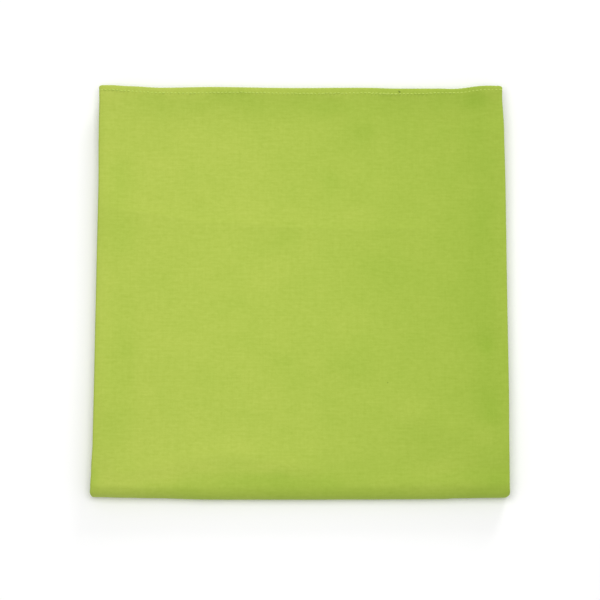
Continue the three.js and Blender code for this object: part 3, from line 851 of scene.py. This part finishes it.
class Wiring:
    """Adds nodes to a tree and links them, so that a material reads from top to bottom."""

    def __init__(self, tree):
        self.tree = tree

    def link(self, source, target):
        if hasattr(source, "links"):
            self.tree.links.new(source, target)
        else:
            target.default_value = source

    def maths(self, operation, a, b=0.0, clamp=False):
        node = self.tree.nodes.new("ShaderNodeMath")
        node.operation = operation
        node.use_clamp = clamp
        self.link(a, node.inputs[0])
        self.link(b, node.inputs[1])
        return node.outputs[0]

    def signed_to_share(self, value):
        """From -1 to 1 into 0 to 1."""
        return self.maths("ADD", self.maths("MULTIPLY", value, 0.5), 0.5)

    def stretched(self, place, scale):
        node = self.tree.nodes.new("ShaderNodeVectorMath")
        node.operation = "MULTIPLY"
        self.link(place, node.inputs[0])
        node.inputs[1].default_value = scale
        return node.outputs[0]

    def noise(self, place, scale, detail=2.0, roughness=0.5):
        node = self.tree.nodes.new("ShaderNodeTexNoise")
        self.link(place, node.inputs["Vector"])
        self.link(scale, node.inputs["Scale"])
        node.inputs["Detail"].default_value = detail
        node.inputs["Roughness"].default_value = roughness
        return node.outputs["Fac"]

    def mix_colours(self, share, a, b, blend="MIX"):
        node = self.tree.nodes.new("ShaderNodeMix")
        node.data_type = "RGBA"
        node.blend_type = blend
        self.link(share, node.inputs["Factor"])
        self.link(a, node.inputs["A"])
        self.link(b, node.inputs["B"])
        return node.outputs["Result"]


# Textures of the nap. "stretch" squeezes them across and along the cloth, "swing" is the most
# that they change the tone by, and "relief" is their share of the height.
NAP_TEXTURES = {
    "grain": {"stretch": (0.76, 1.2, 1), "detail": 3.0, "roughness": 0.62,
              "swing": 0.85, "relief": 0.55},
    "fibres": {"stretch": (0.62, 1.6, 1), "detail": 2.0, "roughness": 0.6,
               "swing": 0.58, "relief": 0.3},
    "stroked": {"stretch": (1, 1, 1), "detail": 2.0, "roughness": 0.5, "swing": 0.35},
    "courses": {"stretch": (0.08, 1, 1), "detail": 1.0, "roughness": 0.5, "share": 0.6},
    "wales": {"stretch": (1, 0.08, 1), "detail": 1.0, "roughness": 0.5, "share": 0.4},
    "lines": {"swing": 0.6, "relief": 0.15},
}
FIBRES_FINER = 5.0          # than the grain
STROKED_PER_METRE = 45.0
COURSES_PER_METRE = 900.0
WALES_PER_METRE = 800.0


def brushed_nap_group():
    """The short nap of the cloth: mottled grain, wider brushed patches and faint knit lines.

    Place is in metres on the flat cloth. Tone, the grain, is 0 where the nap lies dark and 1 where
    it lies light. The second output, how the nap has been stroked together with the painted shade
    and light that come in by Mark, is 0 where dark and 1 where light. Height is from 0 to 1."""
    group, start, end = node_group(
        "brushed nap",
        [("Place", "NodeSocketVector", None), ("Mark", "NodeSocketFloat", 0.0),
         ("Grain per metre", "NodeSocketFloat", 300.0),
         ("Grain contrast", "NodeSocketFloat", 1.0), ("Patch contrast", "NodeSocketFloat", 1.0),
         ("Line contrast", "NodeSocketFloat", 1.0)],
        [("Tone", "NodeSocketFloat"), ("Brush", "NodeSocketFloat"),
         ("Height", "NodeSocketFloat")])
    wire = Wiring(group)
    place = start.outputs["Place"]
    per_metre = start.outputs["Grain per metre"]

    def texture(name, fineness):
        row = NAP_TEXTURES[name]
        return wire.noise(wire.stretched(place, row["stretch"]), fineness, row["detail"],
                          row["roughness"])

    def part(value, name, column):
        return wire.maths("MULTIPLY", value, NAP_TEXTURES[name][column])

    def swing(value, name, contrast):
        centred = wire.maths("SUBTRACT", value, 0.5)
        return wire.maths("MULTIPLY", centred, part(start.outputs[contrast], name, "swing"))

    grain = texture("grain", per_metre)
    fibres = texture("fibres", wire.maths("MULTIPLY", per_metre, FIBRES_FINER))
    stroked = texture("stroked", STROKED_PER_METRE)
    courses = texture("courses", COURSES_PER_METRE)
    wales = texture("wales", WALES_PER_METRE)
    lines = wire.maths("ADD", part(courses, "courses", "share"), part(wales, "wales", "share"))

    tone = wire.maths("ADD", swing(grain, "grain", "Grain contrast"), 0.5)
    tone = wire.maths("ADD", tone, swing(lines, "lines", "Line contrast"))
    tone = wire.maths("ADD", tone, swing(fibres, "fibres", "Grain contrast"), True)
    # Mark brings the nap marks with their painted shade and light; the stroked patches are the nap's
    # own
    brush_and_painted_shade = wire.signed_to_share(start.outputs["Mark"])
    brush_and_painted_shade = wire.maths("ADD", brush_and_painted_shade, swing(stroked, "stroked", "Patch contrast"), True)
    height = wire.maths("ADD", part(grain, "grain", "relief"), part(fibres, "fibres", "relief"))
    height = wire.maths("ADD", height, part(lines, "lines", "relief"))
    group.links.new(tone, end.inputs["Tone"])
    group.links.new(brush_and_painted_shade, end.inputs["Brush"])
    group.links.new(height, end.inputs["Height"])
    return group


# Small dark marks on the cloth: a fleck, painted shade in the hole where the seam's thread ends, and
# a small dark spot at the hem's edge.
# "at" is on the flat cloth, across from its middle and along from the hem that shows.
MARKS = [
    {"at": (52.2, HEM_Y + 58.0), "radius": 0.55, "share": 0.35},
    {"at": (60.9, 1.9), "radius": 0.65, "share": 0.4},
    {"at": (61.4, 2.4), "radius": 0.75, "share": 0.6},
    {"at": (104.5, 0.9), "radius": 0.5, "share": 0.35},
]
# dark green of the fleck and of the painted shade in the thread's hole
MARK_COLOUR = (0.05, 0.09, 0.006)


def dark_mark_group():
    """How much of a small soft-edged mark lies at a place: 1 in its middle, 0 past Radius."""
    group, start, end = node_group(
        "dark mark",
        [("Place", "NodeSocketVector", None), ("Middle", "NodeSocketVector", None),
         ("Radius", "NodeSocketFloat", 0.0005), ("Share", "NodeSocketFloat", 1.0)],
        [("Cover", "NodeSocketFloat")])
    wire = Wiring(group)
    away = group.nodes.new("ShaderNodeVectorMath")
    away.operation = "DISTANCE"
    wire.link(start.outputs["Place"], away.inputs[0])
    wire.link(start.outputs["Middle"], away.inputs[1])
    far = wire.maths("DIVIDE", away.outputs["Value"], start.outputs["Radius"])
    near = wire.maths("SUBTRACT", 1.0, far, True)
    soft = wire.maths("SMOOTH_MIN", wire.maths("MULTIPLY", near, 2.0), 1.0)
    cover = wire.maths("MULTIPLY", soft, start.outputs["Share"], True)
    group.links.new(cover, end.inputs["Cover"])
    return group


def add_marks(tree, marks):
    """Mixes the small dark marks, among them the painted shade of a hole, into a material's base
    colour.
    """
    wire = Wiring(tree)
    target = tree.nodes["Principled BSDF"].inputs["Base Color"]
    colour = target.links[0].from_socket
    place = next(node for node in tree.nodes if node.type == "UVMAP").outputs["UV"]
    group = dark_mark_group()
    for mark in marks:
        cover = tree.nodes.new("ShaderNodeGroup")
        cover.node_tree = group
        wire.link(place, cover.inputs["Place"])
        cover.inputs["Middle"].default_value = (mark["at"][0] * MM, mark["at"][1] * MM, 0)
        cover.inputs["Radius"].default_value = mark["radius"] * MM
        cover.inputs["Share"].default_value = mark["share"]
        colour = wire.mix_colours(cover.outputs["Cover"], colour, (*MARK_COLOUR, 1))
    wire.link(colour, target)


def swung(colour, swing):
    """A colour's dark and light ends."""
    dark = [c * (1 - s) for c, s in zip(colour, swing)]
    light = [c * (1 + s) for c, s in zip(colour, swing)]
    return (*dark, 1), (*light, 1)


FABRIC = {"Roughness": 0.92, "Specular IOR Level": 0.25, "Sheen Roughness": 0.45,
          "Sheen Tint": (0.86, 1.0, 0.55, 1)}
FLOOR = {"Base Color": (0.95, 0.95, 0.95, 1), "Roughness": 0.9, "Specular IOR Level": 0.1}


def settle_sockets(node, values):
    for label, value in values.items():
        node.inputs[label].default_value = value


def fabric(name, nap, colour, grain_swing, brush_and_painted_shade_swing, relief_depth, settings, sheen):
    """A matt cloth or thread: nap, with painted shade and light on the cloth, that swings either way
    from its colour, a bump, and sheen.
    """
    material = bpy.data.materials.new(name)
    material.use_nodes = True
    tree = material.node_tree
    shader = tree.nodes["Principled BSDF"]
    wire = Wiring(tree)
    uv = tree.nodes.new("ShaderNodeUVMap")
    uv.uv_map = "cloth"
    pile = tree.nodes.new("ShaderNodeGroup")
    pile.node_tree = nap
    wire.link(uv.outputs["UV"], pile.inputs["Place"])
    settle_sockets(pile, settings)
    mark = tree.nodes.new("ShaderNodeAttribute")
    mark.attribute_name = "nap and painted shade"
    wire.link(mark.outputs["Fac"], pile.inputs["Mark"])
    shade = wire.mix_colours(pile.outputs["Tone"], *swung(colour, grain_swing))
    # the stroked nap together with the painted shade and light of the marks and the lean
    stroke_and_painted_shade = wire.mix_colours(pile.outputs["Brush"], *swung((1, 1, 1), brush_and_painted_shade_swing))
    shade = wire.mix_colours(1.0, shade, stroke_and_painted_shade, "MULTIPLY")
    wire.link(shade, shader.inputs["Base Color"])
    bump = tree.nodes.new("ShaderNodeBump")
    bump.inputs["Distance"].default_value = relief_depth * MM
    bump.inputs["Strength"].default_value = 1.0
    wire.link(pile.outputs["Height"], bump.inputs["Height"])
    wire.link(bump.outputs["Normal"], shader.inputs["Normal"])
    settle_sockets(shader, FABRIC)
    shader.inputs["Sheen Weight"].default_value = sheen
    return material


def plain_floor_material():
    material = bpy.data.materials.new("pale floor")
    material.use_nodes = True
    settle_sockets(material.node_tree.nodes["Principled BSDF"], FLOOR)
    return material


# ---- the camera and the room -----------------------------------------------------------------
CAMERA_ELEVATION = 78.7     # degrees above the horizon
CAMERA_DISTANCE = 1.2852    # metres from the middle of the towel
CAMERA_LENS = 125.98        # millimetres
CAMERA_SENSOR = 36.0        # millimetres
CAMERA_AIM = (-0.0007, -0.0061, 0.006)
CAMERA_ROLL = 0.155         # degrees


def point_at(holder, target):
    way = Vector(target) - holder.location
    holder.rotation_euler = way.to_track_quat("-Z", "Y").to_euler()


def add_camera():
    data = bpy.data.cameras.new("camera")
    camera = bpy.data.objects.new("camera", data)
    bpy.context.scene.collection.objects.link(camera)
    data.lens = CAMERA_LENS
    data.sensor_width = CAMERA_SENSOR
    up = math.radians(CAMERA_ELEVATION)
    aim = Vector(CAMERA_AIM)
    camera.location = aim + CAMERA_DISTANCE * Vector((0, -math.cos(up), math.sin(up)))
    point_at(camera, aim)
    bpy.context.view_layer.update()
    roll = Matrix.Rotation(math.radians(CAMERA_ROLL), 4, "Z")
    camera.matrix_world = camera.matrix_world @ roll
    bpy.context.scene.camera = camera


# Soft lights. "at" is in metres.
LAMPS = [
    {"name": "low far softbox", "at": (0.8, 2.25, 0.65), "size": 0.9, "power": 29.0},
    {"name": "upper softbox", "at": (-0.03, 0.0, 0.5), "size": 0.3, "power": 1.08},
]
ROOM_STRENGTH = 0.70
FLOOR_REACH = 8.0           # metres


def add_lamp(lamp):
    data = bpy.data.lights.new(lamp["name"], "AREA")
    data.shape = "SQUARE"
    data.size = lamp["size"]
    data.energy = lamp["power"]
    holder = bpy.data.objects.new(lamp["name"], data)
    bpy.context.scene.collection.objects.link(holder)
    holder.location = lamp["at"]
    holder.visible_camera = False
    point_at(holder, (0, 0, 0))


def add_room():
    corners = [(-1, -1), (1, -1), (1, 1), (-1, 1)]
    floor = make_mesh("floor", [(x * FLOOR_REACH, y * FLOOR_REACH, 0) for x, y in corners],
                      [(0, 1, 2, 3)], corners)
    floor.data.materials.append(plain_floor_material())
    world = bpy.data.worlds.new("room")
    world.use_nodes = True
    background = world.node_tree.nodes["Background"]
    background.inputs["Color"].default_value = (1, 1, 1, 1)
    background.inputs["Strength"].default_value = ROOM_STRENGTH
    bpy.context.scene.world = world
    for lamp in LAMPS:
        add_lamp(lamp)
    bpy.context.scene.view_settings.view_transform = "Standard"


# ---- putting it together -------------------------------------------------------------------
add_camera()
add_room()

nap = brushed_nap_group()
suede = fabric(
    "microfibre suede", nap, colour=(0.359, 0.463, 0.0615), grain_swing=(0.15, 0.12, 0.33),
    brush_and_painted_shade_swing=(0.235, 0.12, 0.40), relief_depth=0.12, sheen=0.12,
    settings={"Grain per metre": 400.0, "Grain contrast": 0.88, "Patch contrast": 0.8,
              "Line contrast": 0.95})
thread = fabric(
    "hem thread", nap, colour=(0.45, 0.57, 0.10), grain_swing=(0.12, 0.10, 0.15),
    brush_and_painted_shade_swing=(0.12, 0.08, 0.2), relief_depth=0.03, sheen=0.2,
    settings={"Grain per metre": 2500.0, "Grain contrast": 0.8, "Patch contrast": 0.5,
              "Line contrast": 0.0})

add_marks(suede.node_tree, MARKS)

cloth = cloth_mesh("towel_cloth")
cloth.data.materials.append(suede)

seams = [stitch_row(seam) for seam in SEAMS]
for seam in seams:
    seam.data.materials.append(thread)

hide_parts("towel")
for piece in [cloth, *seams]:
    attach(piece, "root")
